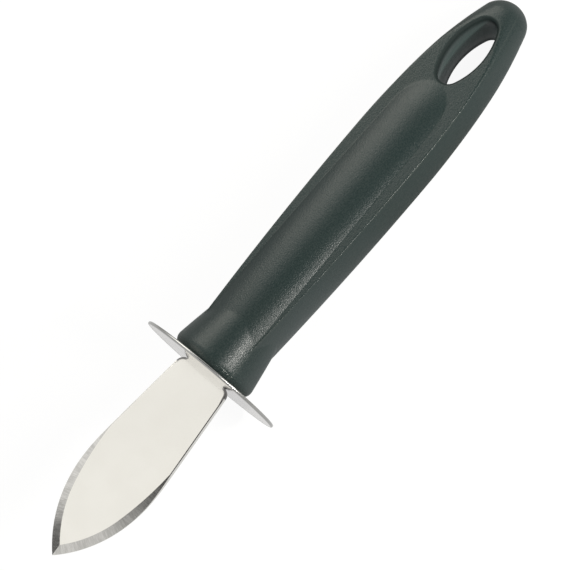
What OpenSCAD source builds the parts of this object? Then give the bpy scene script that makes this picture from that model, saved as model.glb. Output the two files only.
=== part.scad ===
// Oyster knife with a broad pointed blade, a thin round guard and a moulded grip.
// It lies on a table: the guard's rim and the rear end of the grip's underside touch z = 0.
// The modules work along the knife's own axis, x = 0 on the blade side of the guard and +x
// towards the butt. The module lying_down then tips each of them into its place.

/* [Blade] */
// Length of the blade from the guard to the point
blade_len = 58; // [48:1:70]
// Greatest width of the blade
blade_w = 21.8; // [19:0.2:26]
// Thickness of the blade and its tang
blade_t = 1.5; // [1.2:0.1:2.4]
// Length of the curved nose, from the point to the widest place
nose_len = 25; // [20:0.5:30]
// Length over which the widest place turns into the straight sides
belly_len = 5; // [3:0.5:8]
// Angle between the straight side of the blade and its middle line, in degrees
side_angle = 5.5; // [3:0.25:7]
// Radius of the corners at the foot of the blade
heel_r = 2.1; // [1:0.1:3]

/* [Cutting edge] */
// Width of the ground bevel round the nose
bevel_w = 2.2; // [1.2:0.1:3]
// Thickness left at the cutting edge
edge_t = 0.3; // [0.2:0.05:0.6]
// Distance ahead of the widest place at which the bevel starts to run out
fade_lead = 8; // [5:0.5:11]
// Radius of the curve on which the bevel runs out
fade_r = 95; // [80:1:130]

/* [Tang] */
// Width of the tang inside the handle
tang_w = 9; // [7:0.25:11]
// Length of the tang behind the guard
tang_len = 48; // [36:1:60]
// Diameter of the holes that lock the tang in the moulding
key_d = 4; // [3:0.25:5]
// Distance between the two key holes
key_pitch = 20; // [14:1:26]
// Distance from the tang's end to the nearer key hole
key_inset = 8; // [6:0.5:12]

/* [Guard] */
// Diameter of the guard
guard_d = 40; // [34:0.5:48]
// Thickness of the guard
guard_t = 0.8; // [0.6:0.1:1.6]
// Sideways play of the tang in the guard's slot, taken up on one side
slot_play = 1; // [0.5:0.1:1.2]
// Gap between the tang's flat faces and the guard's slot
slot_gap = 0.15; // [0.05:0.05:0.3]

/* [Handle body] */
// Length of the handle behind the guard
handle_len = 120.5; // [110:1:135]
// Thickness between the handle's two broad faces
handle_t = 13.7; // [11:0.1:15]
// Width of a broad face at its widest place
face_w = 19.8; // [17:0.2:24]
// Width of a broad face where it starts at the guard
face_start_w = 14.5; // [13:0.25:15.5]
// Width of a broad face beside the middle of the hanging hole
face_hole_w = 15.6; // [14.6:0.2:16.6]
// Distance of the widest place from the guard
widest_at = 71; // [64:1:78]
// Rise of the bowed side faces between their two creases
side_bow = 1.1; // [0.6:0.1:1.8]

/* [Butt] */
// Radius of the ball that ends the handle
butt_r = 6.9; // [6.5:0.1:7.6]
// Radius of the long curve that trims the creases ahead of the ball
trim_r = 105; // [95:1:120]
// Angle between the long curve and the middle line where it meets the ball, in degrees
trim_angle = 18; // [16:0.5:20]

/* [Collar] */
// Diameter of the collar at the guard
collar_d = 24; // [22:0.2:26]
// Length of the collar from the guard to its end inside the handle
collar_len = 20; // [19:0.5:23]
// Slope of the collar's side, in degrees
collar_angle = 10.1; // [9:0.1:11]
// Radius of the slight bulge along the collar's side
collar_bulge_r = 300; // [200:20:600]
// Radius of the collar's front edge
collar_edge_r = 0.7; // [0.3:0.1:1.5]

/* [Palm swell] */
// Rise of the swell over the broad face where it leaves the collar
crown_front = 2.7; // [2:0.1:3.2]
// Rise of the swell over the broad face before its rear end
crown_rear = 1.35; // [1:0.05:1.8]
// Width of the swell's foot where it leaves the collar
foot_front_w = 15.3; // [14:0.1:15.6]
// Width of the swell's foot before its rear end
foot_rear_w = 13.4; // [12:0.1:14.5]
// Distance from the guard at which the swell leaves the collar
swell_front = 16; // [14:0.5:18]
// Distance from the guard at which the swell starts to run down at its rear end
swell_rear = 81; // [74:0.5:84]
// Length of the rear end, over which the swell sinks into the broad face
swell_run = 10; // [8:0.25:12]

/* [Hanging hole] */
// Length of the hole
hole_len = 20.2; // [16:0.2:24]
// Width of the hole
hole_w = 9.4; // [7:0.2:11]
// Radius of the hole's two ends
hole_end_r = 3; // [2.4:0.1:3.4]
// Distance of the hole's middle from the guard
hole_at = 102; // [99:0.5:104]
// Width and depth of the bevelled lip round the hole
lip_w = 0.6; // [0.3:0.1:1]

/* [Fit] */
// Gap between the tang and the moulding round it
mould_gap = 0.05; // [0.02:0.01:0.2]

/* [Hidden] */
$fn = 96;

// Colours of the finished pieces
steel = "gainsboro";
moulding = "darkslategray";

// Overlap of pieces of one solid, and reach of the cutting shapes
sink = 0.2;
reach = 30;
// Arcs that would only touch each other cross by a hair, so that they meet in a clean edge
hair = 0.02;

// Blade: half widths, the widest place and the radius of the nose on each side
half_w = blade_w / 2;
half_t = blade_t / 2;
widest_x = nose_len - blade_len;
nose_r = (nose_len * nose_len + half_w * half_w) / (2 * half_w);
nose_y = half_w - nose_r;
belly_r = belly_len / sin(side_angle);
belly_y = half_w - belly_r;
belly_end = [widest_x + belly_len, belly_y + belly_r * cos(side_angle) - hair];
heel_w = belly_end.y + belly_end.x * tan(side_angle);

// Bevel: its fall and the centre of the curve on which it runs out
bevel_fall = (blade_t - edge_t) / 2;
bevel_r = nose_r - bevel_w;
fade_angle = asin(fade_lead / bevel_r);
fade_centre = [widest_x + (fade_r - bevel_r) * sin(fade_angle),
               nose_y - (fade_r - bevel_r) * cos(fade_angle)];

// Handle: places along the axis, and the two arcs of each side, whose radii are whole
// numbers so that both arcs reach exactly the same widest place
half_th = handle_t / 2;
handle_x = guard_t;
handle_end = guard_t + handle_len;
mid_x = guard_t + widest_at;
face_h = face_w / 2;
hole_x = guard_t + hole_at;
front_drop = face_h - face_start_w / 2;
front_r = round((widest_at * widest_at + front_drop * front_drop) / (2 * front_drop));
rear_run = hole_x - mid_x;
rear_drop = face_h - face_hole_w / 2;
rear_r = round((rear_run * rear_run + rear_drop * rear_drop) / (2 * rear_drop));
bow_r = (half_th * half_th + side_bow * side_bow) / (2 * side_bow);

// Butt: the ball's middle, the long curve's centre, start and end as [x, distance from the axis].
// The long curve is drawn a hair short, so that it crosses the ball
ball_x = handle_end - butt_r;
start_angle = 3;
trim_centre = [ball_x, 0] + (butt_r - trim_r) * [sin(trim_angle), cos(trim_angle)];
trim_arc = trim_r - hair;
trim_start = trim_centre + trim_arc * [sin(start_angle), cos(start_angle)];
trim_end = trim_centre + trim_arc * [sin(trim_angle), cos(trim_angle)];

// Swell: the arc over its foot at both ends, and the line that its centres lie on
function arc_r(rise, width) = (rise * rise + width * width / 4) / (2 * rise);
swell_x = [guard_t + swell_front, guard_t + swell_rear];
swell_r = [arc_r(crown_front, foot_front_w), arc_r(crown_rear, foot_rear_w)];
swell_z = [half_th + crown_front - swell_r[0], half_th + crown_rear - swell_r[1]];
swell_gap = swell_x[1] - swell_x[0];
axis_drop = atan((swell_z[0] - swell_z[1]) / swell_gap);
axis_len = swell_gap / cos(axis_drop);
axis_r = [swell_r[0] * cos(axis_drop), swell_r[1] * cos(axis_drop)];
axis_slope = atan((axis_r[1] - axis_r[0]) / axis_len);
end_r = (swell_run * swell_run + crown_rear * crown_rear) / (2 * crown_rear);

// Hole: the arc of its long sides
hole_a = hole_len / 2;
hole_b = hole_w / 2;
end_x = hole_a - hole_end_r;
side_r = (end_x * end_x + hole_b * hole_b - hole_end_r * hole_end_r) / (2 * (hole_b - hole_end_r));
hole_split = asin(end_x / (side_r - hole_end_r));

// Lying down: the tilt at which the guard's rim and the rear edge of a broad face touch the table
rim_r = guard_t / 2;
face_end = trim_centre.x + sqrt(trim_arc * trim_arc - pow(half_th - trim_centre.y, 2));
lift_a = guard_d / 2 - rim_r - half_th;
lift_b = face_end - rim_r;
tilt = acos(-rim_r / norm([lift_a, lift_b])) - atan2(lift_b, lift_a);
low_z = (guard_d / 2 - rim_r) * cos(tilt) + rim_r * sin(tilt) + rim_r;
point_x = -blade_len * cos(tilt);
butt_reach = ball_x * cos(tilt) + butt_r;
middle_x = (point_x + butt_reach) / 2;
middle_y = -slot_play;

// Tips a piece into its resting place, with the origin under the middle of the whole knife
module lying_down() {
    translate([-middle_x, -middle_y, low_z])
        rotate([0, tilt, 0])
            children();
}

// Both sides of the knife's upright middle plane
module both_sides() {
    children();
    mirror([0, 1, 0]) children();
}

// Both faces of the knife
module both_faces() {
    children();
    mirror([0, 0, 1]) children();
}

// A box that keeps the length from x1 to x2
module stretch(x1, x2) {
    translate([x1, -reach, -reach]) cube([x2 - x1, 2 * reach, 2 * reach]);
}

// Outline of the blade: a nose of two arcs, a short belly arc and straight sides
module blade_outline() {
    intersection() {
        translate([widest_x, nose_y]) circle(nose_r, $fn = 240);
        translate([widest_x, -nose_y]) circle(nose_r, $fn = 240);
        translate([-blade_len, -half_w]) square([nose_len, blade_w]);
    }
    intersection() {
        translate([widest_x, belly_y]) circle(belly_r, $fn = 360);
        translate([widest_x, -belly_y]) circle(belly_r, $fn = 360);
        translate([widest_x, -half_w]) square([belly_len, blade_w]);
    }
    difference() {
        polygon([[belly_end.x, -belly_end.y], [0, -heel_w], [0, heel_w], belly_end]);
        for (side = [-1, 1]) heel_corner(side);
    }
}

// What the rounding of one heel corner takes away
module heel_corner(side) {
    difference() {
        translate([-heel_r, side > 0 ? heel_w - heel_r : -heel_w - heel_r])
            square(2 * heel_r);
        translate([-heel_r, side * (heel_w - heel_r)]) circle(heel_r);
    }
}

// Outline of the tang, grown by a gap where the moulding takes it
module tang_outline(gap) {
    difference() {
        translate([-sink, -tang_w / 2 - gap])
            square([guard_t + tang_len + sink, tang_w + 2 * gap]);
        for (i = [0, 1])
            translate([guard_t + tang_len - key_inset - i * key_pitch, 0])
                circle(d = key_d - 2 * gap, $fn = 48);
    }
}

// The metal above one bevel: a cone's worth round the given centre
module bevel_cut(centre, inner_r) {
    translate([centre.x, centre.y, 0])
        rotate_extrude($fn = 360)
            polygon([[inner_r, half_t], [inner_r + bevel_w, half_t - bevel_fall],
                     [inner_r + bevel_w + 1, half_t - bevel_fall],
                     [inner_r + bevel_w + 1, half_t + 1], [inner_r, half_t + 1]]);
}

// The side of the line through both bevel centres that starts at the given distance from it
module bevel_reach(start) {
    translate([widest_x, nose_y, -reach])
        rotate([0, 0, fade_angle])
            translate([start, 0, 0]) cube([reach, 2 * reach, 2 * reach]);
}

module blade() {
    color(steel)
        lying_down() {
            difference() {
                translate([0, 0, -half_t]) linear_extrude(blade_t) blade_outline();
                both_faces() both_sides() {
                    intersection() {
                        bevel_cut([widest_x, nose_y], bevel_r);
                        bevel_reach(-reach);
                    }
                    intersection() {
                        bevel_cut(fade_centre, fade_r - hair);
                        bevel_reach(0);
                    }
                }
            }
            translate([0, 0, -half_t]) linear_extrude(blade_t) tang_outline(0);
        }
}

module guard() {
    color(steel)
        lying_down()
            difference() {
                translate([0, -slot_play, 0]) rotate([0, 90, 0]) rotate_extrude($fn = 180) {
                    square([guard_d / 2 - rim_r, guard_t]);
                    translate([guard_d / 2 - rim_r, rim_r])
                        intersection() {
                            circle(rim_r, $fn = 32);
                            translate([0, -rim_r]) square([rim_r, guard_t]);
                        }
                }
                translate([-1, -slot_play - tang_w / 2 - slot_play, -half_t - slot_gap])
                    cube([guard_t + 2, tang_w + 2 * slot_play, blade_t + 2 * slot_gap]);
            }
}

// A round plate of radius r at its creases, with a bowed rim
module bowed_plate(r) {
    rotate_extrude($fn = 480)
        intersection() {
            translate([r + side_bow - bow_r, 0]) circle(bow_r, $fn = 120);
            translate([0, -half_th]) square([r + side_bow, handle_t]);
        }
}

// The flat body's length from x1 to x2, between two bowed sides of radius r
module bowed_length(r, x1, x2) {
    intersection() {
        translate([mid_x, face_h - r, 0]) bowed_plate(r);
        translate([mid_x, r - face_h, 0]) bowed_plate(r);
        stretch(x1, x2);
    }
}

// Room inside which the body lies: it trims the creases near the hole and ends in the ball
module butt_room() {
    rotate([0, 90, 0])
        rotate_extrude($fn = 90) {
            polygon([[0, 0], [trim_start.y + trim_start.x * tan(start_angle), 0],
                     [trim_start.y, trim_start.x], [0, trim_start.x]]);
            intersection() {
                translate([trim_centre.y, trim_centre.x]) circle(trim_arc, $fn = 240);
                translate([0, trim_start.x]) square([reach, trim_end.x - trim_start.x]);
            }
            intersection() {
                translate([0, ball_x]) circle(butt_r, $fn = 60);
                translate([0, trim_end.x - 1]) square([reach, butt_r + 1]);
            }
        }
}

module flat_body() {
    intersection() {
        union() {
            bowed_length(front_r, handle_x, mid_x);
            bowed_length(rear_r, mid_x, handle_end + 1);
        }
        butt_room();
    }
}

// Tapered collar with a slight bulge along its side and a rounded front edge
module collar() {
    rear_x = collar_d / 2 - collar_len * tan(collar_angle);
    half = collar_len / cos(collar_angle) / 2;
    back = sqrt(collar_bulge_r * collar_bulge_r - half * half);
    centre = [(collar_d / 2 + rear_x) / 2, collar_len / 2]
             - back * [cos(collar_angle), sin(collar_angle)];
    edge_gap = collar_bulge_r - collar_edge_r;
    edge_rise = collar_edge_r - centre.y;
    edge = [centre.x + sqrt(edge_gap * edge_gap - edge_rise * edge_rise), collar_edge_r];
    touch = centre + (edge - centre) * collar_bulge_r / edge_gap;
    translate([handle_x, 0, 0])
        rotate([0, 90, 0])
            rotate_extrude($fn = 120) {
                intersection() {
                    translate(centre) circle(collar_bulge_r, $fn = 720);
                    translate([0, touch.y]) square([reach, collar_len - touch.y]);
                }
                polygon([[0, 0], [edge.x, 0], edge, touch, [0, touch.y]]);
                translate(edge) circle(collar_edge_r, $fn = 32);
            }
}

// One palm swell: a slim cone round an axis that sinks towards the butt, cut off by the face
module palm_swell() {
    start = -swell_front + 2;
    run = swell_run / cos(axis_drop);
    intersection() {
        translate([swell_x[0], 0, swell_z[0]])
            rotate([0, 90 + axis_drop, 0])
                rotate_extrude($fn = 240) {
                    polygon([[0, start], [axis_r[0] + start * tan(axis_slope), start],
                             [axis_r[1], axis_len], [0, axis_len]]);
                    intersection() {
                        translate([axis_r[1] - end_r, axis_len]) circle(end_r, $fn = 360);
                        translate([0, axis_len]) square([axis_r[1], 2 * run]);
                    }
                }
        translate([handle_x, -face_h, half_th - sink])
            cube([handle_len, face_w, reach]);
    }
}

// Outline of the hanging hole: two long arcs closed by two small ones
module hole_outline() {
    cut_x = end_x + hole_end_r * sin(hole_split);
    intersection() {
        translate([0, hole_b - side_r]) circle(side_r, $fn = 360);
        translate([0, side_r - hole_b]) circle(side_r, $fn = 360);
        translate([-cut_x, -hole_b]) square([2 * cut_x, hole_w]);
    }
    for (side = [-1, 1])
        translate([side * end_x, 0]) circle(hole_end_r + hair);
}

// What the lip takes away round one arc of the hole, at the upper face
module lip_cone(r) {
    low = half_th - lip_w - sink;
    high = half_th + sink;
    rotate_extrude($fn = 120)
        polygon([[0, low], [r - sink, low], [r + lip_w + sink, high], [0, high]]);
}

module hanging_hole() {
    room = end_x + hole_end_r * sin(hole_split) + sink / 2;
    translate([hole_x, 0, 0]) {
        translate([0, 0, -reach]) linear_extrude(2 * reach) hole_outline();
        both_faces() {
            intersection() {
                translate([0, hole_b - side_r, 0]) lip_cone(side_r);
                translate([0, side_r - hole_b, 0]) lip_cone(side_r);
                stretch(-room, room);
            }
            for (side = [-1, 1]) translate([side * end_x, 0, 0]) lip_cone(hole_end_r + hair);
        }
    }
}

module handle() {
    color(moulding)
        lying_down()
            difference() {
                union() {
                    flat_body();
                    collar();
                    both_faces() palm_swell();
                }
                hanging_hole();
                translate([0, 0, -half_t - mould_gap])
                    linear_extrude(blade_t + 2 * mould_gap) tang_outline(mould_gap);
            }
}

blade();
guard();
handle();
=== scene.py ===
"""Oyster knife: ground and polished steel blade, bright round guard and moulded grip, on a pale floor."""

import math

import bmesh
import bpy
import numpy as np
from mathutils import Matrix, Vector


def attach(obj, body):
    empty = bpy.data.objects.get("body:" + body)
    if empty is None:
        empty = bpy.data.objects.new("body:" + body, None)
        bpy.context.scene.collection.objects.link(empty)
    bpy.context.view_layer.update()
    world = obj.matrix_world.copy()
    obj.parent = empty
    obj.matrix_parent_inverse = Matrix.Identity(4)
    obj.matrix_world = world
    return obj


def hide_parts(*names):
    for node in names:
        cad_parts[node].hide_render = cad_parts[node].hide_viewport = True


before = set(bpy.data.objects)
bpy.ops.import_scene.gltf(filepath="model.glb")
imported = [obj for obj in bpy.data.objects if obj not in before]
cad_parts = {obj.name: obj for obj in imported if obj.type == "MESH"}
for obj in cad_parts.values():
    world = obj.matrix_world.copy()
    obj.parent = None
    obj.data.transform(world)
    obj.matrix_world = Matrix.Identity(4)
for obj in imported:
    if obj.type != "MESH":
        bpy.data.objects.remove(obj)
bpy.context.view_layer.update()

MM = 0.001


# Sizes, in metres and radians, as in the knife's source. Six differ, so that the finer meshes
# follow the photograph or stay clear of each other: the blade's fade radius and honed edge, the
# guard's diameter and slot height, the collar's edge radius and the radius of the hole's lip.

GUARD_R = 20 * MM
GUARD_T = 0.8 * MM
BLADE = {
    "Length": 58 * MM,
    "Width": 21.8 * MM,
    "Thickness": 1.5 * MM,
    "Nose length": 25 * MM,
    "Belly length": 5 * MM,
    "Side angle": math.radians(5.5),
    "Heel radius": 2.1 * MM,
    "Bevel width": 2.2 * MM,
    "Edge thickness": 0.3 * MM,
    "Fade lead": 8 * MM,
    "Fade radius": 78 * MM,
    "Honed edge": 0.24 * MM,
    "Honed heel": 0.648 * MM,
    "Honed fall": 0.06 * MM,
    "Tang width": 9 * MM,
    "Tang length": GUARD_T + 48 * MM,
    "Key diameter": 4 * MM,
    "Key pitch": 20 * MM,
    "Key inset": 8 * MM,
}
GUARD = {
    "Diameter": 2 * GUARD_R - 0.01 * MM,
    "Thickness": GUARD_T,
    "Slot width": 11 * MM,
    "Slot height": 1.52 * MM,
    "Sideways": -1 * MM,
}


def arc_radius(rise, chord):
    """Radius of the arc that rises by that much over a chord."""
    return (rise ** 2 + chord ** 2 / 4) / (2 * rise)


# Flat body of the grip
GRIP_LEN = 120.5 * MM
HALF_T = 13.7 * MM / 2
FACE_H = 19.8 * MM / 2
FACE_START_H = 14.5 * MM / 2
FACE_HOLE_H = 15.6 * MM / 2
WIDEST_AT = 71 * MM
HOLE_AT = 102 * MM
WIDEST_X = GUARD_T + WIDEST_AT
HOLE_X = GUARD_T + HOLE_AT
FRONT_R = round(arc_radius(FACE_H - FACE_START_H, 2 * WIDEST_AT) / MM) * MM
REAR_R = round(arc_radius(FACE_H - FACE_HOLE_H, 2 * (HOLE_AT - WIDEST_AT)) / MM) * MM
SIDE_BOW = 1.1 * MM
BOW_R = arc_radius(SIDE_BOW, 2 * HALF_T)

# Butt: the ball and the long curve that runs into it
BUTT_R = 6.9 * MM
BUTT_CURVE_R = 105 * MM
TRIM_R = BUTT_CURVE_R - 0.02 * MM
TRIM_START = math.radians(3)
TRIM_ANGLE = math.radians(18)
BALL_X = GUARD_T + GRIP_LEN - BUTT_R
TRIM_X = BALL_X + (BUTT_R - BUTT_CURVE_R) * math.sin(TRIM_ANGLE)
TRIM_Y = (BUTT_R - BUTT_CURVE_R) * math.cos(TRIM_ANGLE)

# Palm swell: its rise and the width of its foot at the collar and before its rear end
CROWN = (2.7 * MM, 1.35 * MM)
FOOT_W = (15.3 * MM, 13.4 * MM)
SWELL_X = (GUARD_T + 16 * MM, GUARD_T + 81 * MM)
SWELL_RUN = 10 * MM
SWELL_R = [arc_radius(rise, width) for rise, width in zip(CROWN, FOOT_W)]
SWELL_Z = [HALF_T + rise - radius for rise, radius in zip(CROWN, SWELL_R)]
SWELL_END_R = arc_radius(CROWN[1], 2 * SWELL_RUN)

# Collar
COLLAR_R = 12 * MM
COLLAR_ANGLE = math.radians(10.1)
COLLAR_LEN = 20 * MM
COLLAR_BULGE_R = 300 * MM
COLLAR_EDGE_R = 3 * MM

# Hanging hole, and the pocket round the tang as half width, half height and end
HOLE_A = 20.2 * MM / 2
HOLE_B = 9.4 * MM / 2
HOLE_END_R = 3 * MM
LIP_R = 0.9 * MM
MOULD_GAP = 0.05 * MM
POCKET = (BLADE["Tang width"] / 2 + MOULD_GAP, BLADE["Thickness"] / 2 + MOULD_GAP,
          BLADE["Tang length"] + MOULD_GAP)


def resting_place():
    """Matrix from the knife's own axes (x = 0 at the guard's blade side) to its place on the table."""
    rim_r = GUARD_T / 2
    face_end = TRIM_X + math.sqrt(TRIM_R ** 2 - (HALF_T - TRIM_Y) ** 2)
    rise = GUARD_R - rim_r - HALF_T
    run = face_end - rim_r
    tilt = math.acos(-rim_r / math.hypot(rise, run)) - math.atan2(run, rise)
    low = (GUARD_R - rim_r) * math.cos(tilt) + rim_r * math.sin(tilt) + rim_r
    point = -BLADE["Length"] * math.cos(tilt)
    butt = BALL_X * math.cos(tilt) + BUTT_R
    middle = Matrix.Translation((-(point + butt) / 2, -GUARD["Sideways"], low))
    return middle @ Matrix.Rotation(tilt, 4, "Y")


KNIFE = resting_place()


# Node trees: arithmetic on sockets, and one way to add every other node

class Quantity:
    """A value inside a node tree. Arithmetic on it adds Math nodes."""

    def __init__(self, tree, socket):
        self.tree, self.socket = tree, socket

    def math(self, operation, *items):
        return self.tree.add("ShaderNodeMath", {"operation": operation}, dict(enumerate(items)))

    def __add__(self, other):
        return self.math("ADD", self, other)

    def __radd__(self, other):
        return self.math("ADD", other, self)

    def __sub__(self, other):
        return self.math("SUBTRACT", self, other)

    def __rsub__(self, other):
        return self.math("SUBTRACT", other, self)

    def __mul__(self, other):
        return self.math("MULTIPLY", self, other)

    def __rmul__(self, other):
        return self.math("MULTIPLY", other, self)

    def __truediv__(self, other):
        return self.math("DIVIDE", self, other)

    def __rtruediv__(self, other):
        return self.math("DIVIDE", other, self)

    def __neg__(self):
        return self.math("MULTIPLY", self, -1)

    def __gt__(self, other):
        return self.math("GREATER_THAN", self, other)

    def __lt__(self, other):
        return self.math("LESS_THAN", self, other)

    def __abs__(self):
        return self.math("ABSOLUTE", self)

    def least(self, other):
        return self.math("MINIMUM", self, other)

    def most(self, other):
        return self.math("MAXIMUM", self, other)

    def within(self, low, high):
        return self.most(low).least(high)

    def sqrt(self):
        return self.math("SQRT", self)

    def sin(self):
        return self.math("SINE", self)

    def cos(self):
        return self.math("COSINE", self)

    def tan(self):
        return self.math("TANGENT", self)

    def toward(self, other, share):
        """This value, moved by a share of the way to the other one."""
        return self + (other - self) * share

    def rise(self, start, end):
        """Smooth step from 0 at start to 1 at end."""
        t = ((self - start) / (end - start)).within(0, 1)
        return t * t * (3 - 2 * t)

    def window(self, start, full, fade, end):
        """Smooth window that opens from start to full and closes from fade to end."""
        return self.rise(start, full) * (1 - self.rise(fade, end))


class Tree:
    """Adds nodes to a material's, world's or geometry's node tree."""

    def __init__(self, nodes):
        self.nodes = nodes

    def add(self, kind, settings=None, sockets=None, output=0):
        node = self.nodes.nodes.new(kind)
        for name, value in (settings or {}).items():
            setattr(node, name, value)
        for key, value in (sockets or {}).items():
            for item in value if isinstance(value, list) else [value]:
                if isinstance(item, Quantity):
                    self.nodes.links.new(item.socket, node.inputs[key])
                else:
                    node.inputs[key].default_value = item
        return Quantity(self, node.outputs[output]) if node.outputs else node

    def parts(self, vector):
        first = self.add("ShaderNodeSeparateXYZ", None, {0: vector})
        return [Quantity(self, s) for s in first.socket.node.outputs]

    def vector(self, x, y, z):
        return self.add("ShaderNodeCombineXYZ", None, {0: x, 1: y, 2: z})

    def blend(self, share, first, second):
        """Mix of two colours."""
        return self.add("ShaderNodeMix", {"data_type": "RGBA"}, {0: share, 6: first, 7: second}, 2)

    def noise(self, place, scale, detail=2.0, rough=0.5):
        return self.add("ShaderNodeTexNoise", None,
                        {"Vector": place, "Scale": scale, "Detail": detail, "Roughness": rough})

    def attribute(self, name):
        return self.add("ShaderNodeAttribute", {"attribute_name": name}, None, 2)


def material_tree(name):
    material = bpy.data.materials.new(name)
    material.use_nodes = True
    material.node_tree.nodes.clear()
    return material, Tree(material.node_tree)


def surface(tree, shader):
    tree.add("ShaderNodeOutputMaterial", None, {"Surface": shader})


# Finishes

def blade_steel():
    """Mirror-polished flats with faint lengthwise marks, and bevels ground across the edge."""
    material, t = material_tree("ground blade steel")
    place = t.add("ShaderNodeTexCoord", None, None, 3)
    x, y, z = t.parts(place)
    ground = t.attribute("ground")
    run = t.attribute("run")
    bevel = ground.rise(0.0, 0.06)
    wall = t.attribute("side").rise(0.0, 0.3)
    # Painted shade: the honed edge and side wall at the heel are darkened to near black, standing for
    # shadow and a dark reflection
    heel = t.attribute("heel").rise(0.1, 0.6)

    # Scratches run across the edge, in other places on the left and on the right of the blade
    fine_scratches, wide_scratches, polish_marks = 2600, 500, 5200
    side = (y > -GUARD["Sideways"]) * 0.37 + 0.21
    across = t.vector(run * fine_scratches + side * 50, ground * 0.9, side * 9)
    scratch = t.noise(across, 1.0, 3.0, 0.65)
    across = t.vector(run * wide_scratches + side * 31, ground * 0.4, side * 7)
    streak = scratch * 0.6 + t.noise(across, 1.0, 2.0, 0.5) * 0.4
    polish = t.noise(t.vector(x * 90, y * polish_marks, z * polish_marks), 1.0, 3.0, 0.6)
    cloud = t.noise(place, 130.0, 3.0, 0.5)

    height = polish * 0.003 * (1 - bevel) + streak * 0.32 * bevel
    bump = t.add("ShaderNodeBump", None,
                 {"Strength": 0.35, "Distance": 0.1 * MM, "Height": height})
    rough = (0.1 + cloud * 0.03).toward(0.14 + streak * 0.1, bevel).toward(0.3, wall)
    flat = t.blend(cloud.rise(0.3, 0.7), (0.86, 0.838, 0.772, 1), (0.84, 0.817, 0.75, 1))
    cut = t.blend(streak.rise(0.35, 0.65), (0.52, 0.51, 0.48, 1), (0.70, 0.685, 0.65, 1))
    tone = t.blend(wall, t.blend(bevel, flat, cut), (0.76, 0.75, 0.72, 1))
    # Painted shade at the heel
    tone = t.blend(heel, tone, (0.22, 0.217, 0.21, 1))
    shader = t.add("ShaderNodeBsdfPrincipled", None,
                   {"Base Color": tone, "Metallic": 1.0, "Roughness": rough, "Normal": bump})
    surface(t, shader)
    return material


def guard_steel():
    """Bright polished plate with faint turning marks and a slightly duller rim."""
    material, t = material_tree("polished guard steel")
    place = t.add("ShaderNodeTexCoord", None, None, 3)
    turned = t.attribute("turned")
    rings = t.noise(t.vector(turned * 5000, 0.0, 0.0), 1.0, 2.0, 0.6)
    cloud = t.noise(place, 150.0, 3.0, 0.5)
    rim = turned.rise(GUARD_R - 0.6 * MM, GUARD_R - 0.3 * MM)
    bump = t.add("ShaderNodeBump", None,
                 {"Strength": 0.25, "Distance": 0.02 * MM, "Height": rings})
    rough = (0.1 + cloud * 0.06).toward(0.26, rim)
    tone = t.blend(rim, (0.56, 0.545, 0.53, 1), (0.40, 0.40, 0.39, 1))
    shader = t.add("ShaderNodeBsdfPrincipled", None,
                   {"Base Color": tone, "Metallic": 1.0, "Roughness": rough, "Normal": bump})
    surface(t, shader)
    return material


def moulded_grip():
    """Dark green-grey plastic with the fine grain of a spark-eroded mould.

    A painted highlight lightens the creases and the swell's foot, which are also a little smoother. The
    wall of the hole is greener and lighter deeper in, as painted light, and its lip is matt and darkened
    as painted shade.
    """
    material, t = material_tree("grained grip plastic")
    place = t.add("ShaderNodeTexCoord", None, None, 3)
    grain = t.noise(place, 2800.0, 2.0, 0.6)
    coarse = t.noise(place, 1900.0, 2.0, 0.5)
    cloud = t.noise(place, 60.0, 3.0, 0.5)
    # Painted light: the hole's wall gets lighter and greener from the lip inwards, standing for light
    # that reaches it through the hole; it is also rougher there
    core = t.attribute("core")
    # Painted shade: the hole's lip is darkened to near black; it is also matt
    lip = t.attribute("lip")
    # Painted highlight: a lighter tone along the crease and the swell's foot, broken up by the cloud; the
    # grain there is also a little smoother
    worn = t.attribute("worn") * cloud.rise(0.2, 0.6)
    glancing = t.add("ShaderNodeLayerWeight", None, {"Blend": 0.5}, 1).rise(0.2, 0.7) * (1 - core)

    tone = t.blend(grain.rise(0.3, 0.75), (0.019, 0.033, 0.033, 1), (0.026, 0.041, 0.040, 1))
    tone = t.blend(cloud * 0.3, tone, (0.036, 0.046, 0.039, 1))
    # Painted highlight along the crease and the swell's foot
    tone = t.blend(worn * 0.35, tone, (0.085, 0.10, 0.09, 1))
    # Painted light: lighter, greener tone deeper in the hole's wall
    tone = t.blend(core, tone, (0.040, 0.069, 0.064, 1))
    # Painted shade on the hole's lip
    tone = t.blend(lip * 0.8, tone, (0.006, 0.013, 0.012, 1))

    rough = 0.19 + grain.rise(0.3, 0.7) * 0.14 + cloud * 0.04
    rough = rough.toward(0.5, glancing) - worn * 0.04
    rough = rough.toward(0.55, core).toward(0.75, lip)
    bump = t.add("ShaderNodeBump", None,
                 {"Strength": 1.0, "Distance": 0.1 * MM, "Height": grain * 0.7 + coarse * 0.2})
    shader = t.add("ShaderNodeBsdfPrincipled", None,
                   {"Base Color": tone, "Roughness": rough, "Normal": bump, "IOR": 1.46,
                    "Specular IOR Level": 0.34})
    surface(t, shader)
    return material


# Forms that follow a rule: the blade and the guard, as geometry nodes

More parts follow.
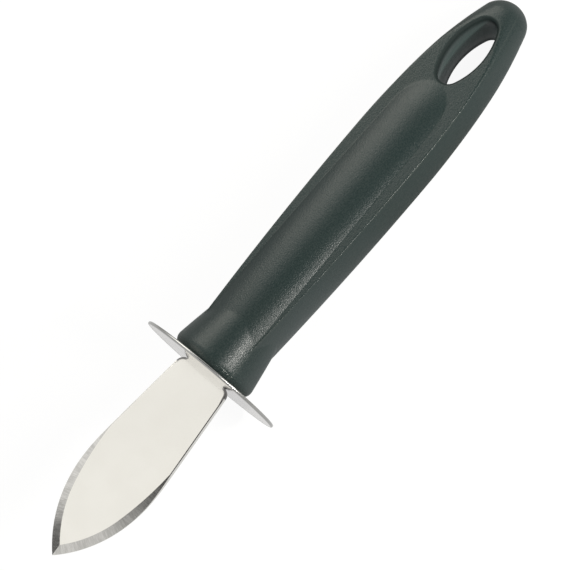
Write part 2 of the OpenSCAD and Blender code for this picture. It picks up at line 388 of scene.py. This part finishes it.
class Form(Tree):
    """A geometry tree with named sizes, made into a plain mesh of the knife."""

    def __init__(self, name, sizes):
        super().__init__(bpy.data.node_groups.new(name, "GeometryNodeTree"))
        self.name, self.sizes, self.keys = name, sizes, {}
        face = self.nodes.interface
        face.new_socket(name="Geometry", in_out="OUTPUT", socket_type="NodeSocketGeometry")
        for size in sizes:
            self.keys[size] = face.new_socket(name=size, in_out="INPUT",
                                              socket_type="NodeSocketFloat").identifier
        self.entry = self.nodes.nodes.new("NodeGroupInput")

    def __getitem__(self, size):
        return Quantity(self, self.entry.outputs[size])

    def grid(self, columns, rows, reach_x=1.0, reach_y=1.0):
        """A grid, and its two fields that run from 0 to the given reach."""
        mesh = self.add("GeometryNodeMeshGrid", None,
                        {"Size X": reach_x, "Size Y": reach_y, "Vertices X": columns, "Vertices Y": rows})
        x, y, _ = self.parts(self.add("GeometryNodeInputPosition"))
        return mesh, x + reach_x / 2, y + reach_y / 2

    def shape(self, mesh, x, y, z):
        return self.add("GeometryNodeSetPosition", None,
                        {"Geometry": mesh, "Position": self.vector(x, y, z)})

    def keep(self, mesh, name, value):
        return self.add("GeometryNodeStoreNamedAttribute", {"data_type": "FLOAT", "domain": "POINT"},
                        {"Geometry": mesh, "Name": name, "Value": value})

    def both(self, mesh, scale):
        """The mesh and its mirror image."""
        other = self.add("GeometryNodeTransform", None, {"Geometry": mesh, "Scale": scale})
        other = self.add("GeometryNodeFlipFaces", None, {"Mesh": other})
        return self.join(mesh, other)

    def join(self, *meshes):
        return self.add("GeometryNodeJoinGeometry", None, {"Geometry": list(meshes)})

    def weld(self, mesh):
        return self.add("GeometryNodeMergeByDistance", None, {"Geometry": mesh, "Distance": 0.001 * MM})

    def creases(self, mesh, angle):
        """Smooth faces, with a hard edge where they meet at more than an angle."""
        bend = self.add("GeometryNodeInputMeshEdgeAngle")
        smooth = self.add("GeometryNodeSetShadeSmooth", {"domain": "FACE"},
                          {"Geometry": mesh, "Shade Smooth": True})
        return self.add("GeometryNodeSetShadeSmooth", {"domain": "EDGE"},
                        {"Geometry": smooth, "Selection": bend > angle, "Shade Smooth": False})

    def make(self, mesh, material):
        mesh = self.add("GeometryNodeRealizeInstances", None, {"Geometry": mesh})
        mesh = self.add("GeometryNodeSetMaterial", None, {"Geometry": mesh, "Material": material})
        self.add("NodeGroupOutput", None, {"Geometry": mesh})
        blank = bpy.data.objects.new(self.name, bpy.data.meshes.new(self.name))
        bpy.context.scene.collection.objects.link(blank)
        modifier = blank.modifiers.new("form", "NODES")
        modifier.node_group = self.nodes
        for size, key in self.keys.items():
            modifier[key] = self.sizes[size]
        graph = bpy.context.evaluated_depsgraph_get()
        plain = bpy.data.meshes.new_from_object(blank.evaluated_get(graph), depsgraph=graph)
        blank.modifiers.remove(modifier)
        blank.data = plain
        close_up(plain)
        return blank


def close_up(mesh):
    """Merges doubles, turns faces outwards and puts the mesh in its place on the table."""
    work = bmesh.new()
    work.from_mesh(mesh)
    bmesh.ops.remove_doubles(work, verts=work.verts, dist=0.0005 * MM)
    bmesh.ops.dissolve_degenerate(work, edges=work.edges, dist=0.0001 * MM)
    bmesh.ops.recalc_face_normals(work, faces=work.faces)
    work.to_mesh(mesh)
    work.free()
    mesh.transform(KNIFE)


def drop(radius, run):
    """How far a circle of that radius falls below its top, a run away from it."""
    return radius - (radius * radius - run * run).most(0).sqrt()


def make_blade(material):
    f = Form("blade", BLADE)
    half_w, half_t = f["Width"] / 2, f["Thickness"] / 2
    nose_len, heel_r = f["Nose length"], f["Heel radius"]
    widest = nose_len - f["Length"]
    nose_r = (nose_len * nose_len + half_w * half_w) / f["Width"]
    nose_y = half_w - nose_r
    belly_r = f["Belly length"] / f["Side angle"].sin()
    inner_r = nose_r - f["Bevel width"]
    fade_sin = f["Fade lead"] / inner_r
    fade_gap = f["Fade radius"] - inner_r
    fade_x = widest + fade_gap * fade_sin
    fade_y = nose_y - fade_gap * (1 - fade_sin * fade_sin).sqrt()

    # A quarter of the blade. The last station and the last row go past 1 and close the wall
    stations, rows, hair = 300, 18, 0.0001
    mesh, u, v = f.grid(stations, rows, 1 + 1 / (stations - 2), 1 + 1 / (rows - 2))
    inside = (u < 1 + hair) * (v < 1 + hair)
    share = v.least(1)
    x = f["Length"] * ((u.least(1) * math.pi).cos() + 1) / -2
    ahead, past = (x - widest).least(0), (x - widest).most(0)
    width = half_w - drop(nose_r, ahead)
    width = width - drop(belly_r, past.least(f["Belly length"]))
    width = width - (past - f["Belly length"]).most(0) * f["Side angle"].tan()
    corner = (x + heel_r).most(0)
    width = (width - drop(heel_r, corner)).most(0)

    fading = x > widest - f["Fade lead"]
    on_nose = nose_y + (inner_r * inner_r - ahead * ahead).most(0).sqrt()
    on_fade = fade_y + (f["Fade radius"] * f["Fade radius"] - (x - fade_x) * (x - fade_x)).sqrt()
    hone_w = f["Honed edge"].toward(f["Honed heel"], (x / heel_r + 2).within(0, 1))
    hone_w = hone_w + drop(heel_r - hone_w, corner) - drop(heel_r, corner)
    hone = width - hone_w
    flat = on_nose.toward(on_fade, fading).least(hone).most(0)
    y = flat * (share * 2).least(1) + (width - flat) * (share * 2 - 1).most(0)

    from_nose = ((x - widest) * (x - widest) + (y - nose_y) * (y - nose_y)).sqrt() - inner_r
    from_fade = ((x - fade_x) * (x - fade_x) + (y - fade_y) * (y - fade_y)).sqrt() - f["Fade radius"]
    depth = (from_nose.toward(from_fade, fading) / f["Bevel width"]).within(0, 1)
    honed = ((y - hone) / hone_w).most(0)
    ground = half_t - (f["Thickness"] - f["Edge thickness"]) / 2 * depth
    z = ground.least(half_t - honed * f["Honed fall"]) * inside
    angle = f.add("ShaderNodeMath", {"operation": "ARCTAN2"}, {0: x - widest, 1: y - nose_y})

    mesh = f.keep(mesh, "ground", depth.most(honed * 0.5))
    mesh = f.keep(mesh, "run", angle * nose_r)
    mesh = f.keep(mesh, "side", 1 - inside)
    # Where the blade's painted shade goes: the honed edge and side wall at the heel
    mesh = f.keep(mesh, "heel", honed.most(1 - inside) * (x > -heel_r))
    mesh = f.shape(mesh, x, y, z)
    mesh = f.weld(f.both(f.both(mesh, (1, -1, 1)), (1, 1, -1)))

    tang_len = f["Tang length"]
    tang = f.add("GeometryNodeMeshCube", None,
                 {"Size": f.vector(tang_len, f["Tang width"], f["Thickness"])})
    tang = f.add("GeometryNodeTransform", None,
                 {"Geometry": tang, "Translation": f.vector(tang_len / 2, 0, 0)})
    key = f.add("GeometryNodeMeshCylinder", None,
                {"Vertices": 48, "Radius": f["Key diameter"] / 2, "Depth": 2 * BLADE["Thickness"]})
    keys = f.add("GeometryNodeMeshLine", None,
                 {"Count": 2, "Start Location": f.vector(tang_len - f["Key inset"], 0, 0),
                  "Offset": f.vector(-f["Key pitch"], 0, 0)})
    keys = f.add("GeometryNodeInstanceOnPoints", None, {"Points": keys, "Instance": key})
    keys = f.add("GeometryNodeRealizeInstances", None, {"Geometry": keys})
    tang = f.add("GeometryNodeMeshBoolean", {"operation": "DIFFERENCE", "solver": "EXACT"},
                 {"Mesh 1": tang, "Mesh 2": keys})
    return f.make(f.creases(f.join(mesh, tang), math.radians(5)), material)


def make_guard(material):
    f = Form("guard", GUARD)
    rim_r = f["Thickness"] / 2
    steps, face_rings, rim_rings = 360, 4, 8
    rings = 2 * face_rings + rim_rings + 1
    mesh, turn, v = f.grid(steps + 1, rings + 1, 1.0, rings)
    angle = turn * (2 * math.pi)
    cos, sin = angle.cos(), angle.sin()
    slot = (f["Slot width"] / 2 / abs(cos).most(1e-6)).least(f["Slot height"] / 2 / abs(sin).most(1e-6))

    # The rings run from the slot out over the front, round the rim, back and through the slot again
    over_front = (v / face_rings).within(0, 1)
    over_back = ((v - face_rings - rim_rings) / face_rings).within(0, 1)
    bend = ((v - face_rings) / rim_rings).within(0, 1) * math.pi
    face_r = f["Diameter"] / 2 - rim_r
    radius = slot.toward(face_r, over_front - over_back) + rim_r * bend.sin()
    x = (rim_r - rim_r * bend.cos()) * (v < rings - 0.5)
    mesh = f.keep(mesh, "turned", radius)
    mesh = f.shape(mesh, x, f["Sideways"] + radius * cos, radius * sin)
    return f.make(f.creases(f.weld(mesh), math.radians(35)), material)


# The grip: one closed skin, lofted through sections of the moulding

# How far two faces of the skin blend into each other. The creases and the trimmed edge get
# softer towards the butt
CREASE_BLEND = 0.28 * MM
CREASE_BLEND_MORE = 2 * MM
FOOT_BLEND = 0.06 * MM
TRIM_BLEND = 0.25 * MM
TRIM_BLEND_MORE = 0.9 * MM
COLLAR_BLEND = 0.05 * MM

# Behind this place the swell has sunk away
SWELL_OUT = 86 * MM

# Rows of the skin: over the collar's edge, just beside the collar's end, and apart behind it,
# where they lie straight across from a first place on
EDGE_ROWS = 9
SEAM = 0.12 * MM
STRAIGHT_X = 26 * MM
ROW_STEP = 0.42 * MM
BUTT_STEP = 0.3 * MM
LIP_ROWS = 7
WALL_ROWS = 7

# Columns of the skin, numbered as in direction(), close together at the foot and at the crease
COLUMNS = np.array([*np.linspace(0, 0.9, 19), 0.94, 0.97, 0.99, 1.0, 1.03, 1.07, 1.14,
                    *np.linspace(1.25, 1.75, 5), 1.85, 1.91, 1.95, 1.975, 1.99, 2.0,
                    2.008, 2.018, 2.03, 2.05, 2.08, 2.13, 2.2, *np.linspace(2.3, 3, 8)])


def soft_min(a, b, reach):
    """The smaller of two values, rounded off where they are less than a reach apart."""
    share = np.clip(0.5 + (b - a) / (2 * reach), 0, 1)
    return b + (a - b) * share - reach * share * (1 - share)


def soft_max(a, b, reach):
    return -soft_min(-a, -b, reach)


def face_half(x):
    """Half width of the flat body between its creases."""
    r = np.where(x < WIDEST_X, FRONT_R, REAR_R)
    return FACE_H - r + np.sqrt(r ** 2 - (x - WIDEST_X) ** 2)


def trim_radius(x):
    """Radius of the room that the butt lies in."""
    start = TRIM_X + TRIM_R * math.sin(TRIM_START)
    end = TRIM_X + TRIM_R * math.sin(TRIM_ANGLE)
    line = TRIM_Y + TRIM_R * math.cos(TRIM_START) + (start - x) * math.tan(TRIM_START)
    curve = TRIM_Y + np.sqrt(np.maximum(TRIM_R ** 2 - (x - TRIM_X) ** 2, 0))
    ball = np.sqrt(np.maximum(BUTT_R ** 2 - (x - BALL_X) ** 2, 0))
    return np.where(x < start, line, np.where(x < end, curve, ball))


def collar_radius(x):
    """Radius of the collar, with its bulge and its rounded front edge."""
    rear = COLLAR_R - COLLAR_LEN * math.tan(COLLAR_ANGLE)
    half = COLLAR_LEN / math.cos(COLLAR_ANGLE) / 2
    back = math.sqrt(COLLAR_BULGE_R ** 2 - half ** 2)
    middle = (COLLAR_R + rear) / 2 - back * math.cos(COLLAR_ANGLE)
    run = x - GUARD_T
    off = run - COLLAR_LEN / 2 + back * math.sin(COLLAR_ANGLE)
    side = middle + np.sqrt(COLLAR_BULGE_R ** 2 - off ** 2)
    edge = np.clip(1 - run / COLLAR_EDGE_R, 0, 1)
    return side - COLLAR_EDGE_R * (1 - np.sqrt(1 - edge ** 2))


def swell_section(x):
    """Height of the centre and radius of the swell's arc."""
    share = np.clip((x - SWELL_X[0]) / (SWELL_X[1] - SWELL_X[0]), -0.3, 1)
    past = np.maximum(x - SWELL_X[1], 0)
    sink = SWELL_END_R - np.sqrt(np.maximum(SWELL_END_R ** 2 - past ** 2, 0))
    return (SWELL_Z[0] + (SWELL_Z[1] - SWELL_Z[0]) * share,
            SWELL_R[0] + (SWELL_R[1] - SWELL_R[0]) * share - sink)


def body_radius(x, ny, nz):
    """Distance from the axis to the skin behind the collar, in the direction (ny, nz) of each section."""
    butt_share = np.clip((x - SWELL_OUT) / (26 * MM), 0, 1)
    reach = CREASE_BLEND + CREASE_BLEND_MORE * butt_share ** 2
    top = HALF_T / np.maximum(nz, 1e-6)
    bow_y = face_half(x) + SIDE_BOW - BOW_R
    side = bow_y * ny + np.sqrt(np.maximum(BOW_R ** 2 - (bow_y * nz) ** 2, 0))
    skin = soft_min(top, side, reach)
    z, r = swell_section(x)
    swell = z * nz + np.sqrt(np.maximum(r ** 2 - (z * ny) ** 2, 0))
    swell = np.where(swell * nz > HALF_T - 1e-9, swell, 0)
    skin = soft_max(skin, swell, FOOT_BLEND)
    room = trim_radius(x)
    reach = TRIM_BLEND + TRIM_BLEND_MORE * np.clip((x - HOLE_AT) / (12 * MM), 0, 1)
    reach = reach * np.clip(room / (4 * MM), 0, 1)
    return np.maximum(soft_min(skin, room, reach + 1e-9), 0)


def foot_half(x):
    """Half width of the swell's foot, and behind the swell a line that goes on beside the hole."""
    z, r = swell_section(np.minimum(x, SWELL_OUT))
    foot = np.minimum(np.sqrt(r ** 2 - (HALF_T - z) ** 2), 0.97 * face_half(x))
    share = 0.665 + 0.14 * np.clip((x - SWELL_OUT) / (12 * MM), 0, 1)
    return np.where(x < SWELL_OUT, foot, share * face_half(x))


def direction(x, column, start):
    """Unit direction of a column of the skin: 0 the crown, 1 the foot, 2 the crease and 3 the side.

    Beside the hole the skin starts at the hole's edge, so start is its distance from the middle.
    """
    half, foot = face_half(x), foot_half(x)
    on_swell = start + (foot - start) * column
    on_face = foot + (half - foot) * np.minimum(column - 1, 1)
    z = HALF_T * np.minimum(3 - column, 1)
    on_side = half + SIDE_BOW - BOW_R + np.sqrt(BOW_R ** 2 - z ** 2)
    y = np.where(column < 1, on_swell, np.where(column > 2, on_side, on_face))
    size = np.hypot(y, z)
    return y / size, z / size


def hole_outline(turn, offset):
    """Point of the hole's outline whose normal points along turn, moved out by an offset."""
    end_x = HOLE_A - HOLE_END_R
    side_r = (end_x ** 2 + HOLE_B ** 2 - HOLE_END_R ** 2) / (2 * (HOLE_B - HOLE_END_R))
    split = math.asin(end_x / (side_r - HOLE_END_R))
    long = np.abs(turn - math.pi / 2) < split
    cx = np.where(long, 0, np.sign(np.cos(turn)) * end_x)
    cy = np.where(long, HOLE_B - side_r, 0)
    r = np.where(long, side_r, HOLE_END_R) + offset
    return HOLE_X + cx + r * np.cos(turn), cy + r * np.sin(turn), split


def collar_end(column):
    """Place along the axis at which the collar runs into the body, on one column of the skin."""
    low, high = 8 * MM, 20 * MM
    for _ in range(40):
        x = (low + high) / 2
        ny, nz = direction(np.array(x), np.array(column), 0)
        if collar_radius(np.array(x)) > body_radius(np.array(x), ny, nz):
            low = x
        else:
            high = x
    return x


def hole_turns():
    """Directions round half of the hole's outline, from its front end to its rear end."""
    _, _, split = hole_outline(np.array([0.0]), 0)
    quarter = math.pi / 2
    return np.concatenate([np.linspace(math.pi, quarter + split, 16)[:-1],
                           np.linspace(quarter + split, quarter - split, 46)[:-1],
                           np.linspace(quarter - split, 0, 16)])


def section_rows(hole_x):
    """Places of the skin's sections at each column, and the number of the first beside the hole."""
    meet = np.array([collar_end(column) for column in COLUMNS])
    edge = 1 - np.cos(np.linspace(0, math.pi / 2, EDGE_ROWS))
    front = list(GUARD_T + COLLAR_EDGE_R * edge)
    collar = [front[-1] + (meet - SEAM - front[-1]) * s for s in np.linspace(0, 1, 26)[1:]]
    behind = [meet + SEAM + (STRAIGHT_X - meet - SEAM) * s for s in np.linspace(0, 1, 30)]
    plain = list(np.arange(STRAIGHT_X + ROW_STEP, hole_x[0] - 0.2 * MM, ROW_STEP))
    trim_end = TRIM_X + TRIM_R * math.sin(TRIM_ANGLE)
    rear = list(np.arange(hole_x[-1] + BUTT_STEP / 2, trim_end, BUTT_STEP))
    ball = [BALL_X + BUTT_R * math.cos(a) for a in np.linspace(math.pi / 2 - TRIM_ANGLE, 0, 40)]

    rows = front + collar + [meet] + behind + plain
    first_hole = len(rows)
    rows = rows + list(hole_x) + rear + ball
    return [np.broadcast_to(x, COLUMNS.shape) for x in rows], first_hole


def hole_wall(rim, turns):
    """The rounded lip and half the depth of the hole's wall, as rows of points inwards from the rim."""
    top = rim[:, 2]
    rows = [rim]
    for a in np.linspace(0, math.pi / 2, LIP_ROWS + 1)[1:]:
        x, y, _ = hole_outline(turns, LIP_R * (1 - math.sin(a)))
        rows.append(np.stack([x, y, top - LIP_R * (1 - math.cos(a))], -1))
    x, y, _ = hole_outline(turns, 0)
    for share in np.linspace(0, 1, WALL_ROWS + 1)[1:]:
        rows.append(np.stack([x, y, (top - LIP_R) * (1 - share)], -1))
    return np.array(rows)


def grip_skin():
    """A quarter of the grip's skin and a quarter of the hole's wall, as grids of points."""
    turns = hole_turns()
    hole_x, hole_y, _ = hole_outline(turns, LIP_R)
    rows, first_hole = section_rows(hole_x)
    skin = []
    for k, x in enumerate(rows):
        in_hole = 0 <= k - first_hole < len(hole_x)
        ny, nz = direction(x, COLUMNS, hole_y[k - first_hole] if in_hole else 0)
        r = body_radius(x, ny, nz)
        collar_r = collar_radius(np.minimum(x, GUARD_T + COLLAR_LEN))
        r = np.where(x < STRAIGHT_X - MM, soft_max(r, collar_r, COLLAR_BLEND), r)
        if k < EDGE_ROWS:
            r = collar_r
        skin.append(np.stack([x, r * ny, r * nz], -1))

    # The pocket round the tang, from the middle of its end to the front of the grip
    ny, nz = direction(rows[0], COLUMNS, 0)
    half_w, half_h, end = POCKET
    slot = np.minimum(half_w / np.maximum(ny, 1e-6), half_h / np.maximum(nz, 1e-6))
    lead = [np.stack([np.full(len(ny), x), slot * share * ny, slot * share * nz], -1)
            for x, share in ((end, 0), (end, 1), (GUARD_T, 1))]
    rim = np.array(skin[first_hole:first_hole + len(turns)])[:, 0]
    return np.array(lead + skin), hole_wall(rim, turns)


def painted_edge_highlight_share(columns):
    """How strong the painted highlight is at each column: the crease, and less of it at the swell's foot.
    """
    crease = np.exp(-((columns - 2) / np.where(columns < 2, 0.07, 0.05)) ** 2)
    return np.maximum(crease, 0.5 * np.exp(-((columns - 1) / 0.025) ** 2))


def grid_faces(rows, columns, start):
    k = start + np.arange(rows * columns).reshape(rows, columns)
    return np.stack([k[:-1, :-1], k[1:, :-1], k[1:, 1:], k[:-1, 1:]], -1).reshape(-1, 4)


def make_grip(material):
    skin, wall = grip_skin()
    # The painted highlight's share at every point of the skin
    worn = np.tile(painted_edge_highlight_share(COLUMNS), (len(skin), 1))
    row = np.tile(np.arange(len(wall))[:, None], (1, wall.shape[1]))
    # Painted light on the hole's wall, growing from the lip inwards
    core = np.clip((row - LIP_ROWS) / 5, 0, 1)
    # Painted shade on the hole's lip
    lip = np.clip(np.minimum(row, LIP_ROWS + 2 - row) / 2, 0, 1)
    patches = ((skin, {"worn": worn, "core": 0 * worn, "lip": 0 * worn}),
               (wall, {"worn": 0 * core, "core": core, "lip": lip}))

    points, faces, fields = [], [], {"worn": [], "core": [], "lip": []}
    for patch, values in patches:
        for sy in (1, -1):
            for sz in (1, -1):
                quads = grid_faces(*patch.shape[:2], sum(map(len, points)))
                faces.append(quads if sy * sz > 0 else quads[:, ::-1])
                points.append(patch.reshape(-1, 3) * (1, sy, sz))
                for name, field in fields.items():
                    field.append(values[name].ravel())
    mesh = bpy.data.meshes.new("grip")
    mesh.from_pydata(np.concatenate(points).tolist(), [], np.concatenate(faces).tolist())
    for name, field in fields.items():
        mesh.attributes.new(name, "FLOAT", "POINT").data.foreach_set("value", np.concatenate(field))
    mesh.materials.append(material)
    close_up(mesh)
    mesh.shade_smooth()
    grip = bpy.data.objects.new("grip", mesh)
    bpy.context.scene.collection.objects.link(grip)
    return grip


# Studio

# The photograph's camera, seen from the knife's own axes
VIEW_ROLL = math.radians(21.72)
VIEW_TILT = math.radians(6.22)
VIEW_TURN = math.radians(0.48)
PHOTO_TURN = math.radians(50.2)
VIEW_DISTANCE = 523.1 * MM
VIEW_TARGET = Vector((29.26 * MM, -0.91 * MM, 0))
LENS = 133.08

# The lean at which the flats of the blade mirror the room, in degrees, as in soft_box()
FLAT_LEAN = 21.7


def make_camera():
    away = Vector((-math.sin(VIEW_TILT),
                   -math.sin(VIEW_ROLL) * math.cos(VIEW_TILT),
                   math.cos(VIEW_ROLL) * math.cos(VIEW_TILT)))
    along = Vector((1, 0, 0)) - away.x * away
    along.normalize()
    across = away.cross(along)
    turn = VIEW_TURN - PHOTO_TURN
    right = along * math.cos(turn) + across * math.sin(turn)
    up = across * math.cos(turn) - along * math.sin(turn)
    place = Matrix((right, up, away)).transposed().to_4x4()
    place.translation = VIEW_TARGET + away * VIEW_DISTANCE
    data = bpy.data.cameras.new("camera")
    data.lens = LENS
    data.sensor_width = 36
    data.clip_start = 0.01
    camera = bpy.data.objects.new("camera", data)
    camera.matrix_world = KNIFE @ place
    bpy.context.scene.collection.objects.link(camera)
    bpy.context.scene.camera = camera


def soft_box(name, lean, spread, start, end, level, color, distance=0.7):
    """A long softbox beside the knife, leaning from straight above towards its left by an angle.

    Its width is given as an angle too, start and end are places along the knife, and level is its
    brightness, where 1 is white.
    """
    data = bpy.data.lights.new(name, "AREA")
    data.shape = "RECTANGLE"
    data.size, data.size_y = end - start, 2 * distance * math.tan(math.radians(spread))
    data.energy = level * math.pi * data.size * data.size_y
    data.color = color
    light = bpy.data.objects.new(name, data)
    light.matrix_world = (KNIFE @ Matrix.Rotation(math.radians(-lean), 4, "X")
                          @ Matrix.Translation(((start + end) / 2, 0, distance)))
    bpy.context.scene.collection.objects.link(light)


def make_world():
    """White for the camera, an even soft light, and a studio with dark gaps that the steel mirrors."""
    world = bpy.data.worlds.new("studio")
    bpy.context.scene.world = world
    world.use_nodes = True
    world.node_tree.nodes.clear()
    t = Tree(world.node_tree)
    rays = t.add("ShaderNodeLightPath").socket.node.outputs
    camera, glossy = Quantity(t, rays["Is Camera Ray"]), Quantity(t, rays["Is Glossy Ray"])

    # A direction of the room from the knife's own axes: x towards the butt, and its lean to the left
    sky_x, sky_y, sky_z = t.parts(t.add("ShaderNodeTexCoord"))
    axes = KNIFE.to_3x3().transposed()
    x, y, z = (sky_x * row.x + sky_y * row.y + sky_z * row.z for row in axes)
    lean = t.add("ShaderNodeMath", {"operation": "ARCTAN2"}, {0: y, 1: z}) * (180 / math.pi)

    # Walls: white on the left, grey elsewhere, and a lighter ceiling ahead of the point
    left = lean.window(8, 18, 64, 90)
    above = lean.window(-32, -24, 8, 18)
    ahead = (-x).rise(0.07, 0.19)
    room = 0.55 + 0.45 * left + 0.33 * above * ahead

    # Dark gaps: a long one over the knife, a short one that the point's bevels mirror, and a faint
    # slanting band that the flats mirror near the guard
    valley = above * (1 - ahead) * (1 - x.rise(0.5, 0.7))
    corner = (-x).window(0.232, 0.268, 0.42, 0.5) * lean.window(34, 42, 56, 62)
    slant = x + (lean - FLAT_LEAN) * 0.018
    band = slant.window(0.005, 0.03, 0.036, 0.06) * lean.rise(14, 18)
    room = room * (1 - valley * 0.91) * (1 - corner * 0.95) * (1 - band * 0.11)

    level = (0.3 + (room - 0.3) * glossy).toward(1.0, camera)
    shader = t.add("ShaderNodeBackground", None, {"Color": (1, 1, 1, 1), "Strength": level})
    t.add("ShaderNodeOutputWorld", None, {"Surface": shader})


def make_floor():
    """A pale sweep that looks white to the camera and keeps the knife's shadow.

    Steel and plastic mirror it white too, but for a dull stretch on both sides of the grip.
    """
    material, t = material_tree("pale floor")
    rays = t.add("ShaderNodeLightPath").socket.node.outputs
    camera, glossy = Quantity(t, rays["Is Camera Ray"]), Quantity(t, rays["Is Glossy Ray"])
    along, across, _ = t.parts(t.add("ShaderNodeTexCoord", None, None, 3))
    beside_grip = along.rise(-15 * MM, 35 * MM) * (1 - 0.4 * along.rise(55 * MM, 85 * MM))
    dull = beside_grip * abs(across).rise(6 * MM, 10 * MM)
    seen = camera.most(glossy * (1 - dull) * 0.72)
    pale = t.add("ShaderNodeBsdfDiffuse", None, {"Color": (0.44, 0.44, 0.44, 1)})
    glow = t.add("ShaderNodeEmission", None, {"Color": (1, 1, 1, 1), "Strength": 0.92})
    shade = t.add("ShaderNodeBsdfDiffuse", None, {"Color": (0.13, 0.13, 0.13, 1)})
    white = t.add("ShaderNodeAddShader", None, {0: glow, 1: shade})
    surface(t, t.add("ShaderNodeMixShader", None, {0: seen, 1: pale, 2: white}))
    mesh = bpy.data.meshes.new("floor")
    reach = 3
    corners = [(-reach, -reach, 0), (reach, -reach, 0), (reach, reach, 0), (-reach, reach, 0)]
    mesh.from_pydata(corners, [], [(0, 1, 2, 3)])
    mesh.materials.append(material)
    floor = bpy.data.objects.new("floor", mesh)
    bpy.context.scene.collection.objects.link(floor)


# Put it together

for piece, node, finish in ((make_blade(blade_steel()), "blade", "blade_steel"),
                            (make_guard(guard_steel()), "guard", "guard_steel"),
                            (make_grip(moulded_grip()), "handle", "grip_plastic")):
    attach(piece, "root")
    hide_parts(node)

make_camera()
soft_box("left_box", lean=43.5, spread=18.5, start=0.12, end=0.8, level=3.1,
         color=(1, 0.96, 0.86))
soft_box("right_box", lean=-47, spread=11, start=0.08, end=0.23, level=11,
         color=(1, 0.97, 0.92))
soft_box("front_box", lean=-57, spread=3.2, start=0.098, end=0.138, level=120,
         color=(1, 0.97, 0.92), distance=0.25)
make_world()
make_floor()

bpy.context.scene.view_settings.view_transform = "Standard"
